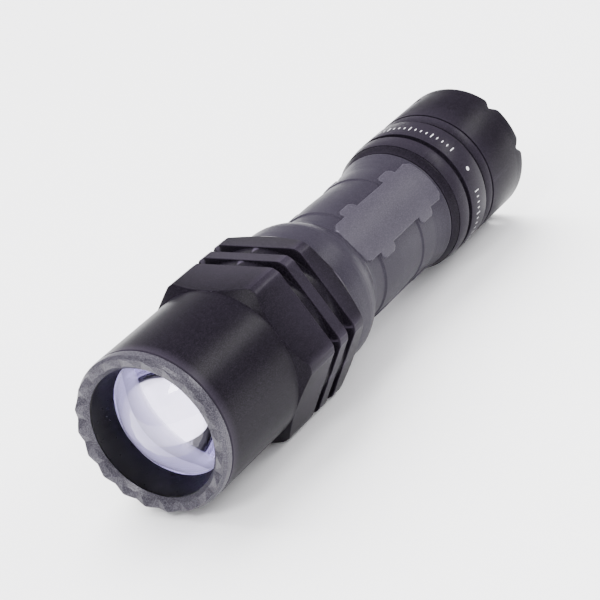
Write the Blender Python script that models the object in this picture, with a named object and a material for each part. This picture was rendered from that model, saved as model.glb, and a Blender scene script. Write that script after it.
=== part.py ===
"""Tactical torch with a sliding focus head, three-cell cartridge and recessed tail button.

Lengths are in millimetres and are scaled to metres when a mesh is made. The optical axis is X and
the beam leaves along +X. A station is a distance along the axis from the joint between the bezel
and the head, positive towards the beam. The axis empty shifts every station, so that the origin is
the centre of the whole torch's box. Angles are in degrees about the axis, from +Y towards +Z.
"""

import math

import bmesh
import bpy
from mathutils import Matrix, Vector

MM = 0.001
GAP = 0.3                       # clearance between pieces that touch

# ---- driving dimensions -------------------------------------------------------------------------
HEAD_R = 17.5                   # bezel and head barrel
BEZEL_FRONT = 2.98              # crest of the bezel teeth
TAIL_END = -133.6               # rim that the torch stands on
HEX_FLAT_R = 17.55              # centre to flat of the hexagonal flange
HEX_CORNER_R = 19.79            # centre to the narrow facet that truncates each corner
HEX_FRONT = -25.4
HEX_REAR = -51.0
GRIP_FRONT = HEX_REAR - GAP
GRIP_REAR = -99.4
PANEL_RISE_R = 13.95            # top of the raised panels
PANEL_STEP = 0.2                # least height of a panel above the flares
CAP_FRONT = GRIP_REAR - GAP
CAP_R = 16.0

BORE_R = 11.6                   # battery tube
NECK_R = 12.85                  # tube that the head slides on
NECK_FRONT = -14.0
SLIDE_BORE_R = 13.0
HEAD_TRAVEL = 8.0
CAVITY_R = 14.2                 # head cavity around the stop clip
CLIP_FRONT = -19.7
CLIP_WIDTH = 1.0
GUIDE_FRONT = CLIP_FRONT - CLIP_WIDTH - 0.2 - HEAD_TRAVEL

BEZEL_SKIRT = -5.8              # inner end of the bezel's thread
CREST_R = 16.8                  # sharp outer edge of the crown
CROWN_EDGE = (2.3, 15.2)        # station and radius where the crown's face meets its inner lip
CROWN_RIM = (1.38, 14.38)       # lower end of the lip
NOTCHES = 20                    # V notches round the bezel
NOTCH_ANGLE = 10.1
NOTCH_HALF_ANGLE = 8.4          # at the outer edge
NOTCH_EDGE_ANGLE = 3.2          # half angle where the notch meets the lip
NOTCH_FLOOR = 2.15              # valley at the outer edge
NOTCH_APEX = (1.9, 14.84)       # where the valley runs out in the lip

PANEL_ANGLES = (41.8, 161.8, 281.8)
PANEL_HALF = 23.8
WING_HALF = 31.3
PANEL_START = -65.6
PANEL_END = -98.7
WINGS = ((-70.7, -76.75), (-88.2, -94.15))
TUBE = ((GRIP_FRONT, 16.45), (-51.6, 16.71), (-54.25, 16.71), (-58.1, 16.57), (-59.06, 16.33),
        (-60.2, 16.01), (-62.3, 15.1), (-64.05, 14.0), (-65.7, 13.56), (-69.74, 13.34), (-70.55, 13.62),
        (-77.9, 13.74), (-87.06, 13.39), (-88.0, 13.62), (-93.3, 13.62), (-97.5, 14.16), (-99.1, 14.5),
        (GRIP_REAR, 14.3))      # flares, and two low steps that face the head

RIM_NOTCH_ANGLES = (7.0, 48.5, 187.0, 228.5)
RIM_NOTCH_DEPTH = 2.0
RIM_NOTCH_HALF = 2.1
LANYARD_ANGLES = (117.75, 297.75)
LANYARD_STATION = -129.7

LENS_SEAT = -6.2                # ledge in the head that the bezel's skirt meets
LENS_EDGE = -5.8
LENS_EDGE_R = 13.2
LENS_APEX = 2.6
LENS_CROWN_R = 8.99             # radius of curvature at the middle of the dome
LENS_OPENING = 0.33             # how far the dome's hyperbola departs from a parabola
LENS_BACK = -6.9
LENS_FLANGE_R = 13.7

CELL_R = 5.1
CELL_LENGTH = 43.3
CELL_CIRCLE_R = 6.1
CARTRIDGE_R = 11.2
CARTRIDGE_FRONT = -36.0
CARTRIDGE_REAR = -88.0
PLATE = 2.2

DOME_R = 7.9
DOME_EDGE = -125.0
DOME_TIP = -128.0
BOOT_HOLE_R = 8.3
RECESS_R = 12.9
RECESS_FLOOR = -123.5
SEAL_SECTION = 1.2

ROUND = 46                      # sides of the large turned pieces
SMALL = 24                      # sides of the small ones


# ---- scene and materials ------------------------------------------------------------------------
def clear_scene():
    for item in list(bpy.data.objects):
        bpy.data.objects.remove(item, do_unlink=True)


def make_material(name, color, roughness, metallic):
    material = bpy.data.materials.new(name)
    material.use_nodes = True
    shader = material.node_tree.nodes["Principled BSDF"]
    shader.inputs["Base Color"].default_value = (*color, 1.0)
    shader.inputs["Roughness"].default_value = roughness
    shader.inputs["Metallic"].default_value = metallic
    return material


def make_axis():
    """Empty at station zero, which carries every piece."""
    axis = bpy.data.objects.new("torch_axis", None)
    axis.location.x = -(BEZEL_FRONT + TAIL_END) / 2 * MM
    bpy.context.scene.collection.objects.link(axis)
    return axis


def add_piece(name, mesh_data, look, axis, station=0.0):
    """Put a finished bmesh in the scene, with its origin on the torch's axis at a station."""
    bmesh.ops.remove_doubles(mesh_data, verts=mesh_data.verts, dist=1e-5)
    bmesh.ops.recalc_face_normals(mesh_data, faces=mesh_data.faces)
    bmesh.ops.translate(mesh_data, verts=mesh_data.verts, vec=(-station, 0, 0))
    bmesh.ops.scale(mesh_data, verts=mesh_data.verts, vec=(MM, MM, MM))
    mesh = bpy.data.meshes.new(name)
    mesh_data.to_mesh(mesh)
    mesh_data.free()
    mesh.shade_smooth()
    mesh.set_sharp_from_angle(angle=math.radians(32))
    piece = bpy.data.objects.new(name, mesh)
    piece.location.x = station * MM
    piece.parent = axis
    piece.data.materials.append(make_material(name, *look))
    bpy.context.scene.collection.objects.link(piece)
    return piece


def add_cutter(name, mesh_data, axis):
    cutter = add_piece(name, mesh_data, LOOKS["black_anodised"], axis)
    cutter.hide_render = True
    cutter.display_type = "WIRE"
    return cutter


def cut(piece, cutter, operation="DIFFERENCE"):
    modifier = piece.modifiers.new(cutter.name, "BOOLEAN")
    modifier.operation = operation
    modifier.solver = "EXACT"
    modifier.object = cutter


LOOKS = {
    "grey_anodised": ((0.27, 0.265, 0.29), 0.45, 0.7),
    "black_anodised": ((0.035, 0.032, 0.037), 0.42, 0.5),
    "glass": ((0.82, 0.82, 0.93), 0.05, 0.0),
    "black_plastic": ((0.02, 0.02, 0.022), 0.5, 0.0),
    "rubber": ((0.018, 0.018, 0.02), 0.8, 0.0),
    "raw_aluminium": ((0.75, 0.75, 0.76), 0.35, 1.0),
    "brass": ((0.78, 0.6, 0.28), 0.3, 1.0),
    "steel": ((0.6, 0.6, 0.62), 0.25, 1.0),
    "board": ((0.75, 0.77, 0.74), 0.4, 0.0),
    "green_board": ((0.03, 0.2, 0.09), 0.4, 0.0),
    "emitter": ((0.95, 0.85, 0.3), 0.3, 0.0),
    "cell_wrap": ((0.05, 0.18, 0.35), 0.35, 0.3),
}


# ---- shape helpers ------------------------------------------------------------------------------
def on_circle(station, radius, degrees):
    angle = math.radians(degrees)
    return Vector((station, radius * math.cos(angle), radius * math.sin(angle)))


def turned(profile, sides=ROUND):
    """Turn a closed outline of (station, radius) points about the axis."""
    mesh_data = bmesh.new()
    rings = []
    for station, radius in profile:
        if radius < 1e-6:
            rings.append([mesh_data.verts.new((station, 0, 0))] * sides)
        else:
            rings.append([mesh_data.verts.new(on_circle(station, radius, 360 * k / sides))
                          for k in range(sides)])
    for index, ring in enumerate(rings):
        following = rings[(index + 1) % len(rings)]
        for k in range(sides):
            n = (k + 1) % sides
            corners = list(dict.fromkeys((ring[k], ring[n], following[n], following[k])))
            if len(corners) > 2:
                mesh_data.faces.new(corners)
    return mesh_data


def ring_profile(front, rear, outer, inner):
    return [(front, inner), (front, outer), (rear, outer), (rear, inner)]


def seal_profile(station, outer, section=SEAL_SECTION, corners=6):
    """Round cross-section of an O-ring whose outer radius is given."""
    middle = outer - section / 2
    turns = [2 * math.pi * k / corners for k in range(corners)]
    return [(station + section / 2 * math.cos(t), middle + section / 2 * math.sin(t)) for t in turns]


def arc_points(centre, radius_x, radius_r, start, end, count):
    """Points of an elliptical arc in the (station, radius) plane."""
    angles = [math.radians(start + (end - start) * k / (count - 1)) for k in range(count)]
    return [(centre[0] + radius_x * math.cos(a), centre[1] + radius_r * math.sin(a)) for a in angles]


def prism(outline, low, high, place):
    """Extrude a closed outline of (a, b) points from low to high, through a placing function."""
    mesh_data = bmesh.new()
    ends = [[mesh_data.verts.new(place(a, b, level)) for a, b in outline] for level in (low, high)]
    mesh_data.faces.new(ends[0])
    mesh_data.faces.new(list(reversed(ends[1])))
    count = len(outline)
    for k in range(count):
        n = (k + 1) % count
        mesh_data.faces.new((ends[0][k], ends[1][k], ends[1][n], ends[0][n]))
    return mesh_data


def merge(parts):
    """Put several bmeshes in one, as separate closed shells."""
    whole = bmesh.new()
    for part in parts:
        mesh = bpy.data.meshes.new("scratch")
        part.to_mesh(mesh)
        part.free()
        whole.from_mesh(mesh)
        bpy.data.meshes.remove(mesh)
    return whole


def coil(start, end, start_r, end_r, turns, wire_r, sides, steps):
    """Wire spring along the axis, with capped ends."""
    mesh_data = bmesh.new()
    count = int(turns * steps)
    rings = []
    for k in range(count + 1):
        part = k / count
        angle = 360 * turns * part
        radius = start_r + (end_r - start_r) * part
        centre = on_circle(start + (end - start) * part, radius, angle)
        outward = on_circle(0, 1, angle)
        rings.append([mesh_data.verts.new(centre + outward * (wire_r * math.cos(2 * math.pi * s / sides))
                                          + Vector((wire_r * math.sin(2 * math.pi * s / sides), 0, 0)))
                      for s in range(sides)])
    for ring, following in zip(rings, rings[1:]):
        for s in range(sides):
            n = (s + 1) % sides
            mesh_data.faces.new((ring[s], ring[n], following[n], following[s]))
    mesh_data.faces.new(rings[0])
    mesh_data.faces.new(list(reversed(rings[-1])))
    return mesh_data


def shifted(mesh_data, radius, degrees):
    """Move a shape off the axis, as a cell in its cartridge."""
    bmesh.ops.translate(mesh_data, verts=mesh_data.verts, vec=on_circle(0, radius, degrees))
    return mesh_data


# ---- head ---------------------------------------------------------------------------------------
def between(a, b, share):
    """Point part of the way from one (station, radius) point to another."""
    return (a[0] + (b[0] - a[0]) * share, a[1] + (b[1] - a[1]) * share)


def crown_points(offset):
    """Outline of the crown at an angle from a notch's middle: outer edge, two bends and inner rim."""
    away = min(NOTCH_HALF_ANGLE, abs(offset))
    floor = (NOTCH_FLOOR, CREST_R)
    crest = (BEZEL_FRONT, CREST_R)
    outer = between(floor, crest, away / NOTCH_HALF_ANGLE)
    if away >= NOTCH_EDGE_ANGLE:
        share = (away - NOTCH_EDGE_ANGLE) / (NOTCH_HALF_ANGLE - NOTCH_EDGE_ANGLE)
        return [outer, between(CROWN_EDGE, crest, share), CROWN_EDGE, CROWN_RIM]
    share = away / NOTCH_EDGE_ANGLE
    valley = between(floor, NOTCH_APEX, (CREST_R - CROWN_EDGE[1]) / (CREST_R - NOTCH_APEX[1]))
    return [outer, between(valley, CROWN_EDGE, share), between(NOTCH_APEX, CROWN_EDGE, share), CROWN_RIM]


def make_bezel(axis):
    """Strike bezel: a smooth band, a crown of V notches and a threaded skirt inside the head."""
    band = [(BEZEL_SKIRT, 15.0), (BEZEL_SKIRT, 16.0), (0.0, 16.0), (0.0, HEAD_R), (1.2, 17.42),
            (1.64, 17.3), (NOTCH_FLOOR, 16.85)]
    lip = [(1.1, 14.4), (1.1, 15.0)]
    mesh_data = bmesh.new()
    rings = []
    for number in range(NOTCHES):
        for offset in (-9.0, -NOTCH_HALF_ANGLE, -NOTCH_EDGE_ANGLE, 0.0, NOTCH_EDGE_ANGLE,
                       NOTCH_HALF_ANGLE):
            degrees = NOTCH_ANGLE + 360 * number / NOTCHES + offset
            points = band + crown_points(offset) + lip
            rings.append([mesh_data.verts.new(on_circle(s, r, degrees)) for s, r in points])
    for ring, following in zip(rings, rings[1:] + rings[:1]):
        for k in range(len(ring)):
            n = (k + 1) % len(ring)
            mesh_data.faces.new((ring[k], following[k], following[n], ring[n]))
    add_piece("bezel_ring", mesh_data, LOOKS["grey_anodised"], axis)


def hex_outline():
    """Hexagon with truncated corners, and flats that face straight up and down."""
    corners = []
    half = math.radians(30)
    sharp = HEX_FLAT_R / math.cos(half)
    facet_half = (sharp - HEX_CORNER_R) * math.tan(math.radians(60))
    for k in range(6):
        angle = math.radians(60 * k)
        out = Vector((math.cos(angle), math.sin(angle)))
        side = Vector((-out.y, out.x))
        corners.append(out * HEX_CORNER_R - side * facet_half)
        corners.append(out * HEX_CORNER_R + side * facet_half)
    return [tuple(corner) for corner in corners]


def make_head_sleeve(axis):
    """Black head: plain barrel, then a hexagonal flange cut by two turned grooves."""
    outside = [(-GAP, 16.3), (-GAP, HEAD_R), (HEX_FRONT, HEAD_R), (HEX_FRONT - 2.7, 20.4), (-36.9, 20.4),
               (-36.9, 17.2), (-39.5, 17.2), (-39.5, 20.4), (-42.6, 20.4), (-42.6, 17.2),
               (-45.5, 17.2), (-45.5, 20.4), (-48.6, 20.4), (HEX_REAR, 17.0)]
    inside = [(HEX_REAR, SLIDE_BORE_R), (GUIDE_FRONT, SLIDE_BORE_R), (GUIDE_FRONT, CAVITY_R),
              (-9.8, CAVITY_R), (-9.8, 12.0), (-8.5, 12.0), (-8.5, 14.0), (LENS_SEAT, 14.0),
              (LENS_SEAT, 16.3)]
    sleeve = add_piece("head_sleeve", turned(outside + inside), LOOKS["black_anodised"], axis)
    hexagon = prism(hex_outline(), 5.0, HEX_REAR - 5.0, lambda a, b, level: Vector((level, a, b)))
    cut(sleeve, add_cutter("hex_envelope", hexagon, axis), "INTERSECT")


def lens_profile():
    """Flat back, thin flange and a hyperbolic dome that is steepest near its edge."""
    rings = 6
    dome = []
    for k in range(rings):
        radius = LENS_EDGE_R * math.cos(math.radians(90 * k / rings))
        slope = math.hypot(LENS_CROWN_R, math.sqrt(LENS_OPENING) * radius)
        dome.append((LENS_APEX - (slope - LENS_CROWN_R) / LENS_OPENING, radius))
    flange = [(LENS_BACK, 0.0), (LENS_BACK, LENS_FLANGE_R), (LENS_EDGE, LENS_FLANGE_R)]
    return flange + dome + [(LENS_APEX, 0.0)]


def make_optics(axis):
    add_piece("lens", turned(lens_profile(), 36), LOOKS["glass"], axis)
    retainer = [(0.8, 14.7), (0.8, 14.2), (LENS_EDGE + GAP, LENS_EDGE_R), (LENS_EDGE + GAP, 14.7)]
    add_piece("lens_retainer", turned(retainer, 36), LOOKS["black_plastic"], axis)
    gasket = ring_profile(LENS_BACK - GAP, -8.2, LENS_FLANGE_R, 12.4)
    add_piece("lens_gasket", turned(gasket, SMALL), LOOKS["rubber"], axis)


# ---- grip ---------------------------------------------------------------------------------------
def tube_radius(station):
    """Outer radius between the panels."""
    for (a, radius_a), (b, radius_b) in zip(TUBE, TUBE[1:]):
        if b <= station <= a:
            return radius_a + (radius_b - radius_a) * (a - station) / (a - b)
    return TUBE[-1][1]


def panel_half_width(station):
    """Half the angle of a raised panel at a station, or zero beyond its ends."""
    if not PANEL_END <= station <= PANEL_START:
        return 0.0
    for front, rear in WINGS:
        if rear <= station <= front:
            return WING_HALF
    return PANEL_HALF


def grip_radius(station, degrees):
    radius = tube_radius(station)
    for middle in PANEL_ANGLES:
        offset = abs((degrees - middle + 180) % 360 - 180)
        if offset <= panel_half_width(station):
            return max(PANEL_RISE_R, radius + PANEL_STEP)
    return radius


def grip_angles():
    """Angles at each panel edge, in pairs that make the step, with even angles between them."""
    edge = 0.45
    marks = set()
    for middle in PANEL_ANGLES:
        for half in (PANEL_HALF, WING_HALF):
            for side in (-1, 1):
                marks.add(round((middle + side * half) % 360, 3))
                marks.add(round((middle + side * (half + edge)) % 360, 3))
    ordered = sorted(marks)
    angles = []
    for a, b in zip(ordered, ordered[1:] + [ordered[0] + 360]):
        pieces = max(1, math.ceil((b - a) / 12))
        angles += [a + (b - a) * k / pieces for k in range(pieces)]
    return angles


def grip_stations():
    """Stations of the tube's outline, and of each panel and wing end in pairs that make the step."""
    step = 0.12
    stations = [station for station, radius in TUBE]
    for place in (PANEL_START, *(front for front, rear in WINGS)):
        stations += [place + step, place]
    for place in (PANEL_END, *(rear for front, rear in WINGS)):
        stations += [place, place - step]
    return sorted(set(stations), reverse=True)


def make_grip(axis):
    """Grey tube: sliding neck, flare, grip with raised panels, rear flare and thread neck."""
    neck = [(-40.95, NECK_R), (-40.95, 11.65 + 0.45), (-39.05, 11.65 + 0.45), (-39.05, NECK_R),
            (-36.95, NECK_R), (-36.95, 11.65 + 0.45), (-35.05, 11.65 + 0.45), (-35.05, NECK_R),
            (CLIP_FRONT - CLIP_WIDTH - 0.15, NECK_R), (CLIP_FRONT - CLIP_WIDTH - 0.15, 12.2),
            (CLIP_FRONT + 0.15, 12.2), (CLIP_FRONT + 0.15, NECK_R), (NECK_FRONT - 0.4, NECK_R),
            (NECK_FRONT, 12.45), (NECK_FRONT, BORE_R)]
    thread = [(GRIP_REAR, 12.4), (-107.6, 12.4), (-108.0, 12.1), (-108.0, BORE_R)]
    fixed = thread + list(reversed(neck)) + [(GRIP_FRONT, NECK_R)]
    angles = grip_angles()
    stations = grip_stations()
    mesh_data = bmesh.new()
    rings = []
    for degrees in angles:
        points = [(s, grip_radius(s, degrees)) for s in stations] + fixed
        rings.append([mesh_data.verts.new(on_circle(s, r, degrees)) for s, r in points])
    for ring, following in zip(rings, rings[1:] + rings[:1]):
        for k in range(len(ring)):
            n = (k + 1) % len(ring)
            mesh_data.faces.new((ring[k], following[k], following[n], ring[n]))
    add_piece("grip_body", mesh_data, LOOKS["grey_anodised"], axis)


def make_neck_fittings(axis):
    for name, station in (("slide_seal_front", -36.0), ("slide_seal_rear", -40.0)):
        seal = turned(seal_profile(0, SLIDE_BORE_R - 0.06, 0.75), 36)
        bmesh.ops.translate(seal, verts=seal.verts, vec=(station, 0, 0))
        add_piece(name, seal, LOOKS["rubber"], axis, station)
    opening = 25
    count = 24
    outline = []
    for radius, order in ((13.9, range(count + 1)), (12.35, reversed(range(count + 1)))):
        for k in order:
            angle = math.radians(90 + opening / 2 + (360 - opening) * k / count)
            outline.append((radius * math.cos(angle), radius * math.sin(angle)))
    clip = prism(outline, CLIP_FRONT, CLIP_FRONT - CLIP_WIDTH, lambda a, b, level: Vector((level, a, b)))
    add_piece("stop_clip", clip, LOOKS["steel"], axis, CLIP_FRONT)


# ---- light engine -------------------------------------------------------------------------------
def make_light_engine(axis):
    pill = [(-15.0, 0.0), (-15.0, 11.3), (-31.0, 11.3), (-31.0, 9.9), (-18.2, 9.9), (-18.2, 0.0)]
    add_piece("led_pill", turned(pill, SMALL), LOOKS["raw_aluminium"], axis)
    board = [(-13.1, 0.0), (-13.1, 8.0), (-14.7, 8.0), (-14.7, 0.0)]
    add_piece("led_board", turned(board, SMALL), LOOKS["board"], axis)
    holder = [(-11.9, 3.2), (-11.9, 4.2), (-12.5, 8.4), (-12.5, 11.2), (-14.7, 11.2), (-14.7, 8.3),
              (-12.8, 8.3), (-12.8, 3.2)]
    add_piece("led_holder", turned(holder, SMALL), LOOKS["black_plastic"], axis)
    emitter = [(-12.8, 0.0), (-12.8, 2.4), (-12.2, 2.4), (-12.2, 1.5)]
    emitter += arc_points((-12.2, 0.0), 1.3, 1.45, 75, 15, 4)
    emitter += [(-10.9, 0.0)]
    add_piece("led_emitter", turned(emitter, SMALL), LOOKS["emitter"], axis)
    driver = [(-26.0, 0.0), (-26.0, 9.6), (-27.6, 9.6), (-27.6, 0.0)]
    add_piece("driver_board", turned(driver, SMALL), LOOKS["green_board"], axis)
    contact = [(-27.9, 0.0), (-27.9, 3.4), (-29.0, 3.4), (-29.0, 2.4), (-35.0, 2.0), (-35.6, 1.2),
               (-35.6, 0.0)]
    add_piece("driver_contact", turned(contact, 16), LOOKS["brass"], axis)


# ---- battery cartridge --------------------------------------------------------------------------
def make_cartridge(axis):
    """Two end plates on a post and three ribs, holding three cells in a triangle."""
    front = ring_profile(CARTRIDGE_FRONT, CARTRIDGE_FRONT - PLATE, CARTRIDGE_R, 1.6)
    add_piece("cartridge_front_plate", turned(front, SMALL), LOOKS["black_plastic"], axis)
    rear = ring_profile(CARTRIDGE_REAR + PLATE, CARTRIDGE_REAR, CARTRIDGE_R, 1.6)
    add_piece("cartridge_rear_plate", turned(rear, SMALL), LOOKS["black_plastic"], axis)
    span = (CARTRIDGE_FRONT - PLATE - GAP, CARTRIDGE_REAR + PLATE + GAP)
    post = [(span[0], 0.0), (span[0], 0.7), (span[1], 0.7), (span[1], 0.0)]
    add_piece("cartridge_post", turned(post, 8), LOOKS["black_plastic"], axis)
    section = ((8.0, -0.9), (CARTRIDGE_R - 0.3, -2.2), (CARTRIDGE_R - 0.3, 2.2), (8.0, 0.9))
    for number in range(3):
        turn = Matrix.Rotation(math.radians(60 + 120 * number), 3, "X")
        rib = prism(section, *span, lambda a, b, level, t=turn: t @ Vector((level, a, b)))
        add_piece(f"cartridge_rib_{number + 1}", rib, LOOKS["black_plastic"], axis)
    front_button = [(CARTRIDGE_FRONT, 0.0), (CARTRIDGE_FRONT, 1.3),
                    (CARTRIDGE_FRONT - PLATE, 1.3), (CARTRIDGE_FRONT - PLATE, 0.0)]
    add_piece("cartridge_contact", turned(front_button, 16), LOOKS["brass"], axis)
    for number in range(3):
        make_cell(axis, number)


def make_cell(axis, number):
    """One cell with its raised contact, and the wire spring behind it; the middle one is reversed."""
    turned_round = -1 if number == 1 else 1
    middle = (CARTRIDGE_FRONT + CARTRIDGE_REAR) / 2 + turned_round * 0.75
    half = CELL_LENGTH / 2
    profile = [(half + 1.1, 0.0), (half + 1.1, 1.9), (half, 1.9), (half, 4.8), (half - 0.4, CELL_R),
               (-half, CELL_R), (-half, 0.0)]
    profile = [(middle + turned_round * station, radius) for station, radius in profile]
    cell = shifted(turned(profile, 18), CELL_CIRCLE_R, 120 * number)
    add_piece(f"cell_{number + 1}", cell, LOOKS["cell_wrap"], axis, middle)
    near = middle - turned_round * (half + 0.5)
    end = CARTRIDGE_REAR + PLATE if turned_round == 1 else CARTRIDGE_FRONT - PLATE
    far = end + turned_round * 0.5
    spring = shifted(coil(near, far, 1.8, 2.9, 1.6, 0.22, 5, 9), CELL_CIRCLE_R, 120 * number)
    add_piece(f"cell_spring_{number + 1}", spring, LOOKS["steel"], axis, near)


# ---- tail ---------------------------------------------------------------------------------------
def rim_cutters():
    """V notches of the rim and the two lanyard slots, all running outwards through the wall."""
    parts = []
    over = 1.0
    half = RIM_NOTCH_HALF * (RIM_NOTCH_DEPTH + over) / RIM_NOTCH_DEPTH
    notch = [(TAIL_END - over, -half), (TAIL_END + RIM_NOTCH_DEPTH, -0.25),
             (TAIL_END + RIM_NOTCH_DEPTH, 0.25), (TAIL_END - over, half)]
    slot = [(LANYARD_STATION + 1.15 * math.cos(a), math.copysign(0.6, math.sin(a)) + 1.15 * math.sin(a))
            for a in (math.radians(-157.5 + 45 * k) for k in range(8))]
    for outline, angles in ((notch, RIM_NOTCH_ANGLES), (slot, LANYARD_ANGLES)):
        for degrees in angles:
            turn = Matrix.Rotation(math.radians(degrees), 3, "X")
            parts.append(prism(outline, 9.5, 18.0, lambda a, b, level, t=turn: t @ Vector((a, level, b))))
    return merge(parts)


def make_tail_cap(axis):
    """Black cap: ribbed front bands, plain rear barrel and a notched rim round the thumb recess."""
    outside = [(CAP_FRONT, 13.6), (CAP_FRONT, 14.5), (-101.7, 15.4), (-105.4, 15.95), (-105.5, 15.1),
               (-106.9, 15.1), (-107.0, CAP_R), (-114.1, CAP_R), (-114.2, 15.0), (-115.5, 15.0),
               (-117.8, 15.75), (-118.1, CAP_R), (TAIL_END + 0.5, CAP_R), (TAIL_END, 15.5)]
    inside = [(TAIL_END, RECESS_R), (RECESS_FLOOR, RECESS_R),
              (RECESS_FLOOR, BOOT_HOLE_R), (-121.2, BOOT_HOLE_R), (-121.2, BORE_R), (-110.0, BORE_R),
              (-110.0, 12.7), (-101.9, 12.7), (-101.9, 13.6)]
    cap = add_piece("tail_cap", turned(outside + inside), LOOKS["black_anodised"], axis)
    cut(cap, add_cutter("rim_shapes", rim_cutters(), axis))


def make_tail_switch(axis):
    """Seal, boot, click switch and contact spring inside the tail cap."""
    seal = turned(seal_profile(-100.9, 13.45, 1.0), 36)
    add_piece("cap_seal", seal, LOOKS["rubber"], axis, -100.9)
    skirt = [(-119.7, 8.1), (-119.7, 11.3), (-120.9, 11.3), (-120.9, 8.1)]
    add_piece("boot_skirt", turned(skirt, SMALL), LOOKS["rubber"], axis)
    dome = [(-120.0, 5.6), (-120.0, DOME_R), (DOME_EDGE, DOME_R)]
    dome += arc_points((DOME_EDGE, 0.0), DOME_TIP - DOME_EDGE, DOME_R, 72, 18, 4)
    dome += [(DOME_TIP, 0.0), (-126.8, 0.0), (-126.4, 3.2), (-124.8, 5.6)]
    add_piece("boot_dome", turned(dome, SMALL), LOOKS["rubber"], axis, DOME_EDGE)
    plunger = [(-116.9, 0.0), (-116.9, 2.6), (-123.4, 2.6), (-123.4, 4.6), (-124.7, 4.6), (-124.7, 0.0)]
    add_piece("switch_plunger", turned(plunger, 16), LOOKS["black_plastic"], axis, -123.4)
    housing = [(-105.6, 0.0), (-105.6, 6.2), (-117.2, 6.2), (-117.2, 2.9), (-113.6, 2.9), (-113.6, 0.0)]
    add_piece("switch_housing", turned(housing, SMALL), LOOKS["black_plastic"], axis)
    spring = coil(-117.6, -122.8, 3.4, 3.4, 3.5, 0.3, 5, 9)
    add_piece("switch_spring", spring, LOOKS["steel"], axis, -117.6)
    board = [(-103.7, 0.0), (-103.7, 10.9), (-105.3, 10.9), (-105.3, 0.0)]
    add_piece("switch_board", turned(board, SMALL), LOOKS["green_board"], axis)
    clamp = ring_profile(-105.6, -119.4, 11.2, 8.4)
    add_piece("switch_clamp_ring", turned(clamp, SMALL), LOOKS["brass"], axis)
    contact = coil(-88.8, -102.9, 3.6, 6.4, 4.5, 0.45, 5, 9)
    add_piece("tail_contact_spring", contact, LOOKS["brass"], axis)


def build():
    clear_scene()
    axis = make_axis()
    make_bezel(axis)
    make_head_sleeve(axis)
    make_optics(axis)
    make_grip(axis)
    make_neck_fittings(axis)
    make_light_engine(axis)
    make_cartridge(axis)
    make_tail_cap(axis)
    make_tail_switch(axis)


build()
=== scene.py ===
import math

import bmesh
import bpy
import numpy as np
from mathutils import Matrix, Vector


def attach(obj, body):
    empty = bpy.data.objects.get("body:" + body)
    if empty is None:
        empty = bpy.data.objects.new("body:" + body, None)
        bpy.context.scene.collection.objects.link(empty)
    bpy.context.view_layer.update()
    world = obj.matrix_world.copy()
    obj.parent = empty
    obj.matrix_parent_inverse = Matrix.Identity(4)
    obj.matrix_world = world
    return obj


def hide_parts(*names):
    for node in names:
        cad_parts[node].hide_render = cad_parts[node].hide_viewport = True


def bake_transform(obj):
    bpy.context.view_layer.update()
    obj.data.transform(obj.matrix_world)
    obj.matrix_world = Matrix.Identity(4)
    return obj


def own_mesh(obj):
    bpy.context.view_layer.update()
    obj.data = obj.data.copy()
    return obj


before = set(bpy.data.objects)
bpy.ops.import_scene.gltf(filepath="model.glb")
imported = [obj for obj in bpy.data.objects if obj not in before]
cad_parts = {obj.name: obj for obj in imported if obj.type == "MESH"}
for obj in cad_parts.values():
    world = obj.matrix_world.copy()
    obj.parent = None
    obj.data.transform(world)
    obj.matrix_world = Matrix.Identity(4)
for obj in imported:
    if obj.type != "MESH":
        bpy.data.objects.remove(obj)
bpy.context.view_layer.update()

# Lengths are in millimetres and become metres when a mesh is made. A station is a distance along
# the torch from the joint between the bezel and the head, positive towards the beam. Angles are in
# degrees about the axis, from +Y towards +Z.
MM = 0.001
BEZEL_FRONT = 2.98
TAIL_END = -133.6
CENTRE = (BEZEL_FRONT + TAIL_END) / 2

NOTCHES = 20
NOTCH_ANGLE = 10.1

HEAD_R = 17.5
HEX_FLAT_R = 17.55
HEX_CORNER_R = 19.79
HEX_CONE_R = 19.98
HEX_FRONT = -25.4
HEX_REAR = -51.0
HEX_GROOVES = ((-36.9, -39.46), (-42.6, -45.5))

GRIP_START = -51.3
GRIP_END = -99.4
PANEL_R = 13.95
PANEL_STEP = 0.2
PANEL_ANGLES = (41.8, 161.8, 281.8)
PANEL_START = -65.6
PANEL_END = -98.7
PANEL_HALF = 5.8
PANEL_EDGE_ANGLES = (23.8, 31.3)
WINGS = ((-70.7, -76.75), (-88.2, -94.15))
WING_HALF = 7.62

CAP_R = 15.95
RIM_R = 15.9
RECESS_R = 12.9
RIM_NOTCH_ANGLES = (7.0, 48.5, 187.0, 228.5)
LANYARD_ANGLES = (117.75, 297.75)
LANYARD_STATION = -129.7
PRINT_STATION = -110.2
INDEX_ANGLE = 23.5


# ---- meshes -------------------------------------------------------------------------------------
def place(stations, radii, degrees):
    """World positions of points given by station, radius and angle."""
    angle = np.radians(degrees)
    spots = np.broadcast_arrays(stations - CENTRE, radii * np.cos(angle), radii * np.sin(angle))
    return np.stack(spots, axis=-1) * MM


def finish_piece(name, mesh, body, materials, sharp=35):
    mesh.validate()
    clean = bmesh.new()
    clean.from_mesh(mesh)
    bmesh.ops.remove_doubles(clean, verts=clean.verts, dist=1e-6)
    bmesh.ops.recalc_face_normals(clean, faces=clean.faces)
    clean.to_mesh(mesh)
    clean.free()
    for material in materials:
        mesh.materials.append(material)
    mesh.shade_smooth()
    mesh.set_sharp_from_angle(angle=math.radians(sharp))
    piece = bpy.data.objects.new(name, mesh)
    bpy.context.scene.collection.objects.link(piece)
    if body:
        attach(piece, body)
    return piece


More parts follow.
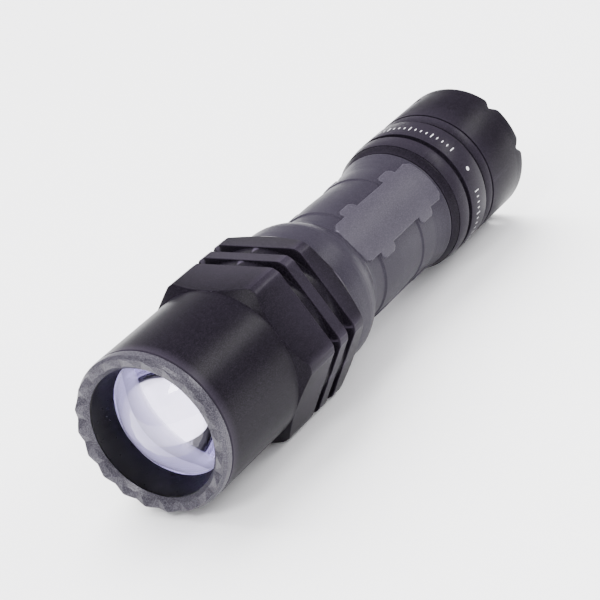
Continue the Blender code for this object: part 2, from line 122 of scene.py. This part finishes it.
def shell(name, stations, radii, degrees, body, materials, pick=None, sharp=35):
    """Closed shell from grids of station and radius: one row per angle, one column per outline point."""
    points = place(stations, radii, np.asarray(degrees)[:, None])
    rows, columns = points.shape[:2]
    index = np.arange(rows * columns).reshape(rows, columns)
    near = np.roll(index, -1, axis=0)
    faces = np.stack([index, near, np.roll(near, -1, axis=1), np.roll(index, -1, axis=1)], axis=-1)
    mesh = bpy.data.meshes.new(name)
    mesh.from_pydata(points.reshape(-1, 3).tolist(), [], faces.reshape(-1, 4).tolist())
    if pick is not None:
        mesh.polygons.foreach_set("material_index", pick.astype(np.int32).ravel())
    return finish_piece(name, mesh, body, materials, sharp)


def turned(name, outline, body, materials, sides=160, sharp=35):
    """Shell turned from one closed outline of (station, radius) points."""
    outline = np.array(outline, float)
    degrees = np.arange(sides) * 360 / sides
    grid = np.broadcast_to(outline, (sides, *outline.shape))
    return shell(name, grid[..., 0], grid[..., 1], degrees, body, materials, sharp=sharp)


def eased(points, cut=0.12):
    """Outline with each corner replaced by a small two-segment bevel."""
    points = np.array(points, float)
    result = []
    for k, point in enumerate(points):
        before = points[k - 1] - point
        after = points[(k + 1) % len(points)] - point
        long_before = np.linalg.norm(before)
        long_after = np.linalg.norm(after)
        turn = np.dot(before, after) / (long_before * long_after)
        size = min(cut, long_before / 3, long_after / 3)
        if turn < -0.97 or point[1] < 0.01:
            result.append(point)
            continue
        a = point + before / long_before * size
        b = point + after / long_after * size
        result += [a, (a + b + 2 * point) / 4, b]
    return np.array(result)


def samples(marks, fine, coarse, spread, start, end):
    """Positions from start to end, finely spaced within a spread of each mark and coarse elsewhere."""
    values = [start]
    while values[-1] < end - 1e-9:
        here = values[-1]
        distance = min(abs(here - mark) for mark in marks)
        ahead = min([mark - spread - here for mark in marks if mark - spread > here], default=coarse)
        step = fine if distance <= spread else min(coarse, max(fine, ahead))
        values.append(min(end, here + step))
    return np.array(values)


# ---- materials ----------------------------------------------------------------------------------
class Nodes:
    """Short calls for building a node tree."""

    def __init__(self, name):
        self.material = bpy.data.materials.new(name)
        self.material.use_nodes = True
        self.tree = self.material.node_tree
        self.shader = self.tree.nodes["Principled BSDF"]
        self.place = self.add("ShaderNodeTexCoord").outputs["Object"]

    def add(self, kind, **settings):
        node = self.tree.nodes.new(kind)
        for key, value in settings.items():
            setattr(node, key, value)
        return node

    def link(self, source, target):
        self.tree.links.new(source, target)

    def stretched(self, along, across):
        """Object coordinates with the axis scaled apart from the other two."""
        mapping = self.add("ShaderNodeMapping")
        mapping.inputs["Scale"].default_value = (along, across, across)
        self.link(self.place, mapping.inputs["Vector"])
        return mapping.outputs["Vector"]

    def noise(self, scale, detail=3.0, vector=None):
        node = self.add("ShaderNodeTexNoise")
        node.inputs["Scale"].default_value = scale
        node.inputs["Detail"].default_value = detail
        self.link(vector or self.place, node.inputs["Vector"])
        return node.outputs["Fac"]

    def ramp(self, source, stops):
        node = self.add("ShaderNodeValToRGB")
        elements = node.color_ramp.elements
        while len(elements) < len(stops):
            elements.new(0.5)
        for element, (position, color) in zip(elements, stops):
            element.position = position
            element.color = (*color, 1.0)
        self.link(source, node.inputs["Fac"])
        return node.outputs["Color"]

    def grey(self, source, stops):
        return self.ramp(source, [(position, (value,) * 3) for position, value in stops])

    def mix(self, factor, a, b):
        node = self.add("ShaderNodeMix", data_type="RGBA")
        for value, socket in ((factor, node.inputs[0]), (a, node.inputs[6]), (b, node.inputs[7])):
            if isinstance(value, bpy.types.NodeSocket):
                self.link(value, socket)
            elif isinstance(value, tuple):
                socket.default_value = (*value, 1.0)
            else:
                socket.default_value = value
        return node.outputs[2]

    def bump(self, height, strength, distance, normal=None):
        node = self.add("ShaderNodeBump")
        node.inputs["Strength"].default_value = strength
        node.inputs["Distance"].default_value = distance * MM
        self.link(height, node.inputs["Height"])
        if normal:
            self.link(normal, node.inputs["Normal"])
        return node.outputs["Normal"]

    def edges(self):
        """White on convex edges, the mask for a painted highlight."""
        pointiness = self.add("ShaderNodeNewGeometry").outputs["Pointiness"]
        return self.grey(pointiness, [(0.52, 0.0), (0.6, 1.0)])


def anodised(name, dark, light, edge, roughness, metallic, grain=5200, grain_depth=0.02, rings=0.0,
             edge_highlight=0.5, specular=0.3):
    """Anodised aluminium: fine grain, turning rings, slow colour drift and a painted highlight on convex
    edges.
    """
    n = Nodes(name)
    drift = n.noise(55, 4.0)
    color = n.ramp(drift, [(0.3, dark), (0.7, light)])
    fine = n.noise(grain, 2.0)
    color = n.mix(n.grey(fine, [(0.42, 0.0), (0.75, 0.3)]), color, edge)
    # Painted highlight: convex edges are lightened towards the edge colour.
    highlight_mask = n.mix(edge_highlight, (0.0, 0.0, 0.0), n.edges())
    color = n.mix(highlight_mask, color, edge)
    n.link(color, n.shader.inputs["Base Color"])
    n.shader.inputs["Metallic"].default_value = metallic
    n.shader.inputs["Specular IOR Level"].default_value = specular
    rough = n.grey(n.noise(3800, 3.0), [(0.3, roughness - 0.03), (0.7, roughness + 0.03)])
    n.link(rough, n.shader.inputs["Roughness"])
    normal = n.bump(fine, 0.6, grain_depth)
    if rings:
        lathe = n.noise(1.0, 2.0, n.stretched(5200, 12))
        normal = n.bump(lathe, 0.5, rings, normal)
    n.link(normal, n.shader.inputs["Normal"])
    return n.material


def moulded(name, dark, light, roughness, grain=1500, depth=0.02, painted_glow=0.0):
    """Plastic or rubber with a fine moulded texture, slight colour drift and, if asked, a painted violet
    glow.
    """
    n = Nodes(name)
    # Painted glow: emission that lights the part as if it were a lamp.
    n.shader.inputs["Emission Color"].default_value = (0.78, 0.75, 1.0, 1.0)
    n.shader.inputs["Emission Strength"].default_value = painted_glow
    n.link(n.ramp(n.noise(120, 4.0), [(0.3, dark), (0.7, light)]), n.shader.inputs["Base Color"])
    fine = n.noise(grain, 3.0)
    n.link(n.grey(fine, [(0.3, roughness - 0.08), (0.7, roughness + 0.08)]), n.shader.inputs["Roughness"])
    n.link(n.bump(fine, 0.6, depth), n.shader.inputs["Normal"])
    return n.material


def bare_metal(name, dark, light, roughness):
    """Bright turned or drawn metal with fine streaks and slight tarnish."""
    n = Nodes(name)
    n.link(n.ramp(n.noise(260, 4.0), [(0.3, dark), (0.7, light)]), n.shader.inputs["Base Color"])
    n.shader.inputs["Metallic"].default_value = 1.0
    streaks = n.noise(1.0, 2.0, n.stretched(6000, 30))
    rough = n.grey(streaks, [(0.3, roughness - 0.06), (0.7, roughness + 0.08)])
    n.link(rough, n.shader.inputs["Roughness"])
    n.link(n.bump(streaks, 0.3, 0.01), n.shader.inputs["Normal"])
    return n.material


def lens_glass():
    """Clear moulded glass with a faint coating tint and the slightest waviness."""
    n = Nodes("lens_glass")
    n.link(n.ramp(n.noise(90, 2.0), [(0.3, (0.96, 0.955, 1.0)), (0.7, (0.98, 0.98, 1.0))]),
           n.shader.inputs["Base Color"])
    n.shader.inputs["Transmission Weight"].default_value = 1.0
    n.shader.inputs["IOR"].default_value = 1.58
    n.shader.inputs["Coat Weight"].default_value = 0.35
    n.shader.inputs["Coat Tint"].default_value = (0.85, 0.8, 1.0, 1.0)
    n.link(n.grey(n.noise(300, 2.0), [(0.3, 0.0), (0.7, 0.012)]), n.shader.inputs["Roughness"])
    return n.material


def ink():
    """Pale print with uneven cover."""
    n = Nodes("print_ink")
    cover = n.noise(5000, 3.0)
    n.link(n.ramp(cover, [(0.3, (0.5, 0.49, 0.52)), (0.65, (0.72, 0.71, 0.74))]),
           n.shader.inputs["Base Color"])
    n.link(n.grey(cover, [(0.3, 0.5), (0.7, 0.7)]), n.shader.inputs["Roughness"])
    return n.material


def board(name, dark, light):
    """Circuit board lacquer with a faint weave."""
    n = Nodes(name)
    weave = n.noise(1.0, 2.0, n.stretched(300, 2600))
    n.link(n.ramp(weave, [(0.35, dark), (0.65, light)]), n.shader.inputs["Base Color"])
    n.link(n.grey(n.noise(700, 3.0), [(0.3, 0.25), (0.7, 0.4)]), n.shader.inputs["Roughness"])
    n.link(n.bump(weave, 0.4, 0.01), n.shader.inputs["Normal"])
    return n.material


def make_looks():
    return {
        "bezel": anodised("bezel_grey", (0.023, 0.0202, 0.0288), (0.0305, 0.0272, 0.0372), (0.32, 0.31, 0.35),
                          0.3, 0.16, rings=0.012, edge_highlight=0.0, specular=0.22),
        "tube": anodised("tube_grey", (0.0158, 0.0134, 0.02), (0.0205, 0.0177, 0.0257), (0.075, 0.067, 0.088),
                         0.36, 0.0, rings=0.045, edge_highlight=0.5, specular=0.06),
        "panel": anodised("panel_grey", (0.031, 0.0268, 0.0376), (0.038, 0.0335, 0.0456), (0.1, 0.092, 0.12),
                          0.5, 0.0, grain=3600, grain_depth=0.04, edge_highlight=0.8, specular=0.15),
        "head": anodised("head_black", (0.0034, 0.0026, 0.0043), (0.0045, 0.0036, 0.0056),
                         (0.05, 0.041, 0.06), 0.32, 0.0, rings=0.006, edge_highlight=0.8, specular=0.045),
        "tail": anodised("tail_black", (0.0045, 0.0035, 0.0056), (0.0058, 0.0047, 0.007),
                         (0.05, 0.041, 0.06), 0.34, 0.0, rings=0.008, edge_highlight=0.8, specular=0.04),
        "wall": moulded("wall_black", (0.0025, 0.0022, 0.0032), (0.0038, 0.0034, 0.0045), 0.35),
        "glass": lens_glass(),
        "plastic": moulded("plastic_black", (0.014, 0.014, 0.015), (0.024, 0.024, 0.026), 0.45),
        "rubber": moulded("rubber_black", (0.012, 0.012, 0.013), (0.022, 0.022, 0.023), 0.75, 900, 0.05),
        "steel": bare_metal("spring_steel", (0.5, 0.5, 0.52), (0.62, 0.62, 0.64), 0.28),
        # The cavity and white parts carry a painted violet glow that makes them look lit behind the lens.
        "cavity": moulded("cavity_white_painted_glow", (0.8, 0.79, 0.88), (0.86, 0.85, 0.93), 0.4, painted_glow=0.5),
        "white": moulded("plastic_white_painted_glow", (0.8, 0.79, 0.88), (0.86, 0.85, 0.93), 0.4, painted_glow=0.5),
        "aluminium": bare_metal("raw_aluminium", (0.68, 0.68, 0.7), (0.78, 0.78, 0.79), 0.34),
        "brass": bare_metal("bright_brass", (0.66, 0.48, 0.2), (0.8, 0.6, 0.28), 0.3),
        "board": board("white_board", (0.66, 0.68, 0.66), (0.74, 0.76, 0.74)),
        "green_board": board("green_board", (0.02, 0.16, 0.07), (0.03, 0.21, 0.1)),
        "emitter": moulded("phosphor_dome", (0.85, 0.72, 0.2), (0.95, 0.85, 0.34), 0.22, 2500, 0.005),
        "cell": moulded("cell_sleeve", (0.04, 0.15, 0.3), (0.06, 0.2, 0.38), 0.3, 2000, 0.005),
        "ink": ink(),
    }


# ---- head ---------------------------------------------------------------------------------------
def make_bezel(look):
    """Smooth band and chamfer, then a crown that slopes down inwards and is cut by V notches."""
    crest_r, floor = 16.8, 2.15
    edge, rim, apex = (2.3, 15.2), (1.38, 14.38), (1.9, 14.84)
    half_notch, half_edge = 8.4, 3.2
    pitch = 360 / NOTCHES
    half_offsets = np.array([1.6, half_edge, 5.0, 7.0, half_notch])
    offsets = np.concatenate([[-pitch / 2], -half_offsets[::-1], [0.0], half_offsets])
    degrees = np.concatenate([NOTCH_ANGLE + pitch * n + offsets for n in range(NOTCHES)])
    away = np.minimum(np.abs(np.tile(offsets, NOTCHES)), half_notch)
    near = np.minimum(away / half_edge, 1)
    far = np.maximum(away - half_edge, 0) / (half_notch - half_edge)
    valley = floor + (apex[0] - floor) * (crest_r - edge[1]) / (crest_r - apex[1])
    whole = np.ones_like(away)
    columns = [(-5.8, 15.2), (-5.8, 16.0), (0.0, 16.0), (0.0, 17.38), (0.1, 17.5), (0.6, 17.48),
               (1.2, 17.42), (1.5, 17.37), (1.64, 17.3), (floor, crest_r + 0.04),
               (floor + (BEZEL_FRONT - floor) * away / half_notch, crest_r),
               (valley + (edge[0] - valley) * near + (BEZEL_FRONT - edge[0]) * far,
                edge[1] + (crest_r - edge[1]) * far),
               (apex[0] + (edge[0] - apex[0]) * near, apex[1] + (edge[1] - apex[1]) * near),
               rim, (1.3, 14.38), (1.2, 14.9), (1.2, 15.2)]
    stations = np.stack([column[0] * whole for column in columns], axis=1)
    radii = np.stack([column[1] * whole for column in columns], axis=1)
    piece = shell("bezel_crown", stations, radii, degrees, "head", [look["bezel"]], sharp=8)
    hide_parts("bezel_ring")


def hex_radius(degrees):
    """Radius of the hexagon with its corners cut by narrow facets."""
    from_flat = (degrees % 60) - 30
    flat = HEX_FLAT_R / np.cos(np.radians(from_flat))
    facet = HEX_CORNER_R / np.cos(np.radians(30 - np.abs(from_flat)))
    return np.minimum(flat, facet)


def make_head(look):
    """Barrel that meets the hexagonal flange in a turned cone, and two turned grooves."""
    half_facet = 2.38
    rear_edge = HEX_REAR + 0.6
    marks = [60 * k + side * half_facet for k in range(7) for side in (-1, 1)]
    degrees = samples(marks, 0.25, 2.0, 0.6, 0.0, 360.0)[:-1]
    edge = hex_radius(degrees)
    front_slope = (HEX_CONE_R - HEAD_R) / 2.25
    rear_slope = (HEX_CONE_R - HEAD_R) / 1.4
    meets = HEX_FRONT - (edge - HEAD_R) / front_slope
    leaves = rear_edge + (edge - HEAD_R) / rear_slope
    whole = np.ones_like(edge)
    bevel = 0.14
    groove = 17.2
    columns = [(-0.3, 16.3), (-0.3, 17.3)]
    columns += [(station, HEAD_R) for station in (-0.45, -3.0, -14.0, -24.0, HEX_FRONT + 0.1)]
    columns += [(HEX_FRONT - 0.03, HEAD_R + 0.03)]
    columns += [(meets + bevel * 0.6, edge - bevel * front_slope * 0.6), (meets - bevel * 0.4, edge - 0.02),
                (meets - bevel * 1.3, edge)]
    for start, end in HEX_GROOVES:
        columns += [(start + bevel, edge), (start + 0.03, edge - bevel * 0.4), (start, edge - bevel),
                    (start, groove + (edge - groove) * 0.5), (start - 0.02, groove + 0.08),
                    (start - 0.1, groove), ((start + end) / 2, groove), (end + 0.1, groove),
                    (end + 0.02, groove + 0.08), (end, groove + (edge - groove) * 0.5),
                    (end, edge - bevel), (end - 0.03, edge - bevel * 0.4), (end - bevel, edge)]
    columns += [(leaves + bevel * 1.3, edge), (leaves + bevel * 0.4, edge - 0.02),
                (leaves - bevel * 0.6, edge - bevel * rear_slope * 0.6), (rear_edge, HEAD_R),
                (HEX_REAR + 0.05, 17.35), (HEX_REAR, 17.2)]
    inside = [(HEX_REAR, 13.0), (-28.9, 13.0), (-28.9, 14.2), (-9.8, 14.2), (-9.8, 12.0), (-8.5, 12.0),
              (-8.5, 14.0), (-6.2, 14.0), (-6.2, 16.3)]
    columns += inside
    stations = np.stack([column[0] * whole for column in columns], axis=1)
    radii = np.stack([column[1] * whole for column in columns], axis=1)
    # The head's inside takes the cavity material and its painted glow.
    pick = np.zeros(stations.shape)
    pick[:, 2 - len(inside):-1] = 1
    piece = shell("head_shell", stations, radii, degrees, "head", [look["head"], look["cavity"]], pick, 20)
    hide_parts("head_sleeve")


def make_lens(look):
    """Aspheric lens: flange and a hyperbolic dome, behind a matt black wall."""
    edge_r, apex, crown_r, opening = 13.2, 2.6, 8.99, 0.33
    radii = edge_r * np.sin(np.radians(np.linspace(90, 0, 40)))
    dome = [(apex - (math.sqrt(crown_r ** 2 + opening * r * r) - crown_r) / opening, r) for r in radii]
    outline = [(-6.9, 0.0), (-6.9, 6.0), (-6.9, 13.55), (-6.75, 13.7), (-5.95, 13.7), (-5.8, 13.55)] + dome
    lens = turned("lens_dome", outline, "head", [look["glass"]], 128, 30)
    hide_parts("lens")
    wall = turned("lens_wall", eased([(1.1, 14.75), (1.1, 14.3), (-5.5, 13.25), (-5.5, 14.75)], 0.08),
                  "head", [look["wall"]])
    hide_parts("lens_retainer")


# ---- grip ---------------------------------------------------------------------------------------
TUBE = ((GRIP_START, 16.35), (-51.6, 16.68), (-54.3, 16.71), (-57.4, 16.62), (-58.6, 16.47), (-59.6, 16.22),
        (-60.8, 15.82), (-62.3, 15.1), (-63.4, 14.42), (-64.2, 13.92), (-65.0, 13.65), (-66.0, 13.52),
        (-69.85, 13.34), (-70.0, 13.36), (-70.35, 13.6), (-70.5, 13.64), (-74.5, 13.72), (-78.0, 13.73),
        (-82.0, 13.63), (-87.25, 13.39), (-87.4, 13.41), (-87.75, 13.61), (-87.9, 13.64), (-93.2, 13.63),
        (-94.0, 13.68), (-95.6, 13.86), (-97.5, 14.17), (-99.0, 14.5), (-99.25, 14.5), (GRIP_END, 14.3))


def chamfered(along, across, start, end, half, corner):
    """Signed distance to a rectangle with cut corners, in the unrolled surface."""
    a = np.abs(along - (start + end) / 2) - abs(start - end) / 2
    b = np.abs(across) - half
    return np.maximum(np.maximum(a, b), (a + b + corner) / math.sqrt(2))


def panel_distance(stations, degrees):
    """Signed distance to the nearest raised panel, negative on it."""
    nearest = np.full(np.broadcast_shapes(stations.shape, degrees.shape), 99.0)
    for middle in PANEL_ANGLES:
        offset = (degrees - middle + 180) % 360 - 180
        across = np.radians(offset) * PANEL_R
        bulge = 1.4 * np.maximum(0, 1 - (across / PANEL_HALF) ** 2)
        shifted = np.where(stations > -72, stations - bulge, stations)
        nearest = np.minimum(nearest, chamfered(shifted, across, PANEL_START, PANEL_END, PANEL_HALF, 1.2))
        for start, end in WINGS:
            nearest = np.minimum(nearest, chamfered(stations, across, start, end, WING_HALF, 1.0))
    return nearest


def make_grip(look):
    """Tube with raised blasted panels, as a height field that is fine wherever an edge runs."""
    turns = [side * half for half in PANEL_EDGE_ANGLES for side in (-1, 1)]
    marks = sorted((middle + turn) % 360 for middle in PANEL_ANGLES for turn in turns)
    degrees = samples(marks, 0.4, 1.6, 2.6, 0.0, 360.0)[:-1]
    ends = [64.2, -PANEL_START, -PANEL_END] + [-station for wing in WINGS for station in wing]
    outer = -samples(ends, 0.1, 0.5, 0.7, -GRIP_START, -GRIP_END)
    known = np.array(TUBE)[::-1]
    outer = np.unique(np.concatenate([np.round(outer, 4), known[:, 0]]))[::-1]
    base = np.interp(outer, known[:, 0], known[:, 1])
    distance = panel_distance(outer[None, :], degrees[:, None])
    edge_width = 0.34
    part = np.clip(-distance / edge_width, 0, 1)
    lifted = np.maximum(PANEL_R, base + PANEL_STEP)
    radii = base + (lifted - base) * part * part * (3 - 2 * part)
    inside = [(GRIP_END, 12.4), (-107.6, 12.4), (-108.0, 12.1), (-108.0, 11.6), (-14.0, 11.6), (-14.0, 12.45),
              (-14.4, 12.85), (-19.55, 12.85), (-19.55, 12.2), (-20.85, 12.2), (-20.85, 12.85),
              (-35.05, 12.85), (-35.05, 12.1), (-36.95, 12.1), (-36.95, 12.85), (-39.05, 12.85),
              (-39.05, 12.1), (-40.95, 12.1), (-40.95, 12.85), (GRIP_START, 12.85)]
    stations = np.concatenate([outer, [s for s, r in inside]])
    stations = np.repeat(stations[None, :], len(degrees), axis=0)
    radii = np.concatenate([radii, np.repeat([[r for s, r in inside]], len(degrees), axis=0)], axis=1)
    middle = np.pad(part, ((0, 0), (0, len(inside))))
    pick = (middle + np.roll(middle, -1, axis=0)) / 2 > 0.5
    piece = shell("grip_tube", stations, radii, degrees, "body", [look["tube"], look["panel"]], pick, 40)
    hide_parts("grip_body")


# ---- tail ---------------------------------------------------------------------------------------
def make_tail(look):
    """Cap with turned bands; its rim is cut by rounded V notches and two lanyard slots."""
    outside = [(-99.7, 13.6), (-99.7, 14.55), (-101.5, 15.3), (-101.8, 15.3), (-101.8, 15.5),
               (-105.45, 15.93), (-105.45, 15.1), (-107.0, 15.1), (-107.0, CAP_R), (-114.1, CAP_R),
               (-114.1, 15.05), (-115.5, 15.05), (-115.55, 15.25), (-117.8, 15.75), (-117.8, 15.5),
               (-118.2, 15.5), (-118.2, RIM_R)]
    rim = [(2.7, RIM_R), (2.1, RIM_R), (1.3, RIM_R), (0.5, RIM_R), (0.2, 15.86), (0.05, 15.74), (0.0, 15.55),
           (0.0, 13.3), (0.1, 13.05), (0.4, RECESS_R), (1.3, RECESS_R), (2.1, RECESS_R), (2.7, RECESS_R)]
    rim = [(TAIL_END + rise, radius) for rise, radius in rim]
    inside = [(-123.5, RECESS_R), (-123.5, 8.3), (-121.2, 8.3), (-121.2, 11.6), (-110.0, 11.6),
              (-110.0, 12.7), (-101.9, 12.7), (-101.9, 13.6)]
    outside = eased(outside + rim[:1], 0.15)[:-1]
    inside = eased(rim[-1:] + inside, 0.15)[1:]
    outline = np.concatenate([outside, rim, inside])
    degrees = samples(RIM_NOTCH_ANGLES, 0.5, 2.0, 10.0, 0.0, 360.0)[:-1]
    stations = np.repeat(outline[None, :, 0], len(degrees), axis=0)
    radii = np.repeat(outline[None, :, 1], len(degrees), axis=0)
    first, last = len(outside), len(outside) + len(rim)
    depth = np.zeros(len(degrees))
    for middle in RIM_NOTCH_ANGLES:
        offset = np.radians((degrees - middle + 180) % 360 - 180) * RIM_R
        steep = np.clip((2.3 - np.sqrt(offset ** 2 + 0.12)) / 1.95, 0, 1)
        depth = np.maximum(depth, 2.0 * steep * (0.4 + 0.6 * steep))
    stations[:, first:last] = np.maximum(stations[:, first:last], (TAIL_END + depth)[:, None])
    piece = shell("tail_shell", stations, radii, degrees, "cap", [look["tail"]], sharp=32)
    for number, angle in enumerate(LANYARD_ANGLES):
        slot = slot_cutter(f"slot_{number}", angle)
        modifier = piece.modifiers.new(slot.name, "BOOLEAN")
        modifier.object = slot
        modifier.operation = "DIFFERENCE"
        modifier.solver = "EXACT"
        apply_modifiers(piece)
        bpy.data.objects.remove(slot)
    piece.data.set_sharp_from_angle(angle=math.radians(32))
    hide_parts("tail_cap")


def slot_cutter(name, angle):
    """Round-ended bar that cuts one lanyard slot through the wall."""
    turns = np.radians(np.arange(24) * 15.0 + 7.5)
    outline = [(LANYARD_STATION + 1.15 * math.cos(t), math.copysign(0.55, math.sin(t)) + 1.15 * math.sin(t))
               for t in turns]
    cutter = bmesh.new()
    turn = Matrix.Rotation(math.radians(angle), 3, "X")
    rings = [[cutter.verts.new(turn @ Vector(((s - CENTRE) * MM, radius * MM, across * MM)))
              for s, across in outline] for radius in (9.5, 18.0)]
    cutter.faces.new(rings[0])
    cutter.faces.new(list(reversed(rings[1])))
    for k in range(len(outline)):
        n = (k + 1) % len(outline)
        cutter.faces.new((rings[0][k], rings[1][k], rings[1][n], rings[0][n]))
    bmesh.ops.recalc_face_normals(cutter, faces=cutter.faces)
    mesh = bpy.data.meshes.new(name)
    cutter.to_mesh(mesh)
    cutter.free()
    piece = bpy.data.objects.new(name, mesh)
    bpy.context.scene.collection.objects.link(piece)
    return piece


def apply_modifiers(piece):
    """Keep the shape that the modifiers give and drop them."""
    graph = bpy.context.evaluated_depsgraph_get()
    made = bpy.data.meshes.new_from_object(piece.evaluated_get(graph))
    piece.modifiers.clear()
    piece.data = made


def make_boot(look):
    """Rubber boot in one piece: clamped skirt, thin fold and a domed button."""
    outline = [(-119.7, 6.4), (-119.7, 11.2), (-120.9, 11.2), (-120.9, 8.0), (-122.5, 7.85), (-125.0, 7.8),
               (-126.1, 7.5), (-127.0, 6.7), (-127.6, 5.2), (-127.9, 3.2), (-128.0, 0.0), (-126.8, 0.0),
               (-126.5, 3.0), (-125.4, 5.4), (-124.3, 6.2), (-120.2, 6.4)]
    boot = turned("switch_boot", eased(outline, 0.3), None, [look["rubber"]], 96, 60)
    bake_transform(boot)
    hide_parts("boot_skirt", "boot_dome")


def make_button_spring(look):
    """Copy of the switch spring in spring steel, carried by the cap."""
    spring = bpy.data.objects.new("button_spring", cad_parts["switch_spring"].data.copy())
    spring.data.materials.clear()
    spring.data.materials.append(look["steel"])
    bpy.context.scene.collection.objects.link(spring)
    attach(spring, "cap")
    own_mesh(spring)
    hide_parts("switch_spring")


# ---- prints -------------------------------------------------------------------------------------
def decal(name, shapes, radius, body, look):
    """Thin print on a round surface: each shape is a loop of (station, angle) corners."""
    mesh_data = bmesh.new()
    for outline in shapes:
        corners = [mesh_data.verts.new(place(np.float64(s), radius + 0.02, a).tolist()) for s, a in outline]
        mesh_data.faces.new(corners)
    mesh = bpy.data.meshes.new(name)
    mesh_data.to_mesh(mesh)
    mesh_data.free()
    finish_piece(name, mesh, body, [look])


def dot(station, angle, size, radius):
    """Round spot: size is its own radius, and radius is the surface's."""
    turns = [2 * math.pi * k / 20 for k in range(20)]
    return [(station + size * math.cos(t), angle + math.degrees(size * math.sin(t) / radius)) for t in turns]


def bar(station, angle, along, across, radius):
    """Small bar, a given length along the axis and a given width round it."""
    half = math.degrees(across / 2 / radius)
    return [(station - along / 2, angle - half), (station + along / 2, angle - half),
            (station + along / 2, angle + half), (station - along / 2, angle + half)]


def make_prints(look):
    """Index dot with plain ticks either side of it, each fourth one longer."""
    marks = [bar(PRINT_STATION, INDEX_ANGLE + 5.0 * k, 1.7 if k % 4 == 0 else 0.9, 0.22, CAP_R)
             for k in range(-14, 26) if abs(k) > 3]
    decal("tail_marks", marks, CAP_R, "cap", look["ink"])
    decal("index_dot", [dot(PRINT_STATION, INDEX_ANGLE, 0.5, CAP_R)], CAP_R, "cap", look["ink"])


# ---- carried-over pieces ------------------------------------------------------------------------
CARRIED = {
    # These white parts carry the painted glow of the white material.
    "white": ("led_holder", "lens_gasket"),
    "plastic": ("cartridge_front_plate", "cartridge_rear_plate", "cartridge_post",
                "cartridge_rib_1", "cartridge_rib_2", "cartridge_rib_3", "switch_plunger", "switch_housing"),
    "rubber": ("slide_seal_front", "slide_seal_rear", "cap_seal"),
    "steel": ("stop_clip", "cell_spring_1", "cell_spring_2", "cell_spring_3"),
    "aluminium": ("led_pill",),
    "board": ("led_board",),
    "green_board": ("driver_board", "switch_board"),
    "emitter": ("led_emitter",),
    "brass": ("driver_contact", "cartridge_contact", "switch_clamp_ring", "tail_contact_spring"),
    "cell": ("cell_1", "cell_2", "cell_3"),
}


def dress_cad_nodes(look):
    for key, names in CARRIED.items():
        for name in names:
            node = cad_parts[name]
            node.data.materials.clear()
            node.data.materials.append(look[key])


# ---- stage, light and camera --------------------------------------------------------------------
def make_stage():
    """Pale floor that touches the rear of the hexagon's flat and the rim of the tail."""
    hex_point = Vector(((-50.4 - CENTRE) * MM, 0, -HEX_FLAT_R * MM))
    rim_point = Vector(((TAIL_END - CENTRE) * MM, 0, -RIM_R * MM))
    along = (hex_point - rim_point).normalized()
    up = Vector((-along.z, 0, along.x))
    mesh = bpy.data.meshes.new("floor")
    side = Vector((0, 1, 0))
    reach, gap = 6.0, 0.05 * MM
    middle = hex_point - up * gap
    corners = [middle + along * a + side * b
               for a, b in ((-reach, -reach), (reach, -reach), (reach, reach), (-reach, reach))]
    mesh.from_pydata(corners, [], [(0, 1, 2, 3)])
    n = Nodes("floor_white")
    n.link(n.ramp(n.noise(3, 2.0), [(0.3, (0.93, 0.93, 0.93)), (0.7, (0.95, 0.95, 0.95))]),
           n.shader.inputs["Base Color"])
    n.shader.inputs["Roughness"].default_value = 0.9
    mesh.materials.append(n.material)
    floor = bpy.data.objects.new("floor", mesh)
    bpy.context.scene.collection.objects.link(floor)


def area_light(name, location, size_x, size_y, power):
    """Soft box aimed at the middle of the torch, placed in metres."""
    light = bpy.data.lights.new(name, "AREA")
    light.shape = "RECTANGLE"
    light.size = size_x
    light.size_y = size_y
    light.energy = power
    lamp = bpy.data.objects.new(name, light)
    lamp.location = location
    lamp.rotation_euler = (-Vector(location)).to_track_quat("-Z", "Y").to_euler()
    bpy.context.scene.collection.objects.link(lamp)


def make_light():
    """Even pale surroundings that are dim in reflections, three soft boxes and a broad overhead light."""
    world = bpy.data.worlds.new("studio")
    world.use_nodes = True
    tree = world.node_tree
    background = tree.nodes["Background"]
    background.inputs["Color"].default_value = (0.97, 0.96, 1.0, 1.0)
    path = tree.nodes.new("ShaderNodeLightPath")
    level = tree.nodes.new("ShaderNodeMix")
    direct, reflected = 2.0, 0.12
    level.inputs[2].default_value = direct
    level.inputs[3].default_value = reflected
    tree.links.new(path.outputs["Is Glossy Ray"], level.inputs[0])
    tree.links.new(level.outputs[0], background.inputs["Strength"])
    bpy.context.scene.world = world
    area_light("key", (-0.61, 0.41, 0.52), 0.4, 0.14, 4.0)
    area_light("back", (-0.72, -0.66, 0.3), 0.5, 0.4, 0.7)
    area_light("front", (0.62, 0.11, 0.64), 0.22, 0.22, 4.4)
    sun = bpy.data.lights.new("overhead", "SUN")
    sun.energy = 10.0
    sun.angle = math.radians(60)
    lamp = bpy.data.objects.new("overhead", sun)
    lamp.rotation_euler = Vector((0.35, 0.55, -0.76)).to_track_quat("-Z", "Y").to_euler()
    lamp.visible_glossy = False
    bpy.context.scene.collection.objects.link(lamp)


def make_camera():
    """Long lens ahead of the torch, to its left and above it; the place is station, y and z."""
    data = bpy.data.cameras.new("camera")
    data.lens = 141.5
    data.sensor_width = 36.0
    data.clip_start = 0.01
    data.clip_end = 20.0
    camera = bpy.data.objects.new("camera", data)
    right = Vector((-0.4955, 0.8446, -0.2028)).normalized()
    forward = Vector((-0.7414, -0.5328, -0.4079)).normalized()
    up = right.cross(forward)
    turn = Matrix((right, up, -forward)).transposed()
    place_mm = Vector((313.95 - CENTRE, 266.27, 203.5))
    camera.matrix_world = Matrix.Translation(place_mm * MM) @ turn.to_4x4()
    bpy.context.scene.collection.objects.link(camera)
    bpy.context.scene.camera = camera


looks = make_looks()
make_bezel(looks)
make_head(looks)
make_lens(looks)
make_grip(looks)
make_tail(looks)
make_boot(looks)
make_button_spring(looks)
make_prints(looks)
dress_cad_nodes(looks)
make_stage()
make_light()
make_camera()
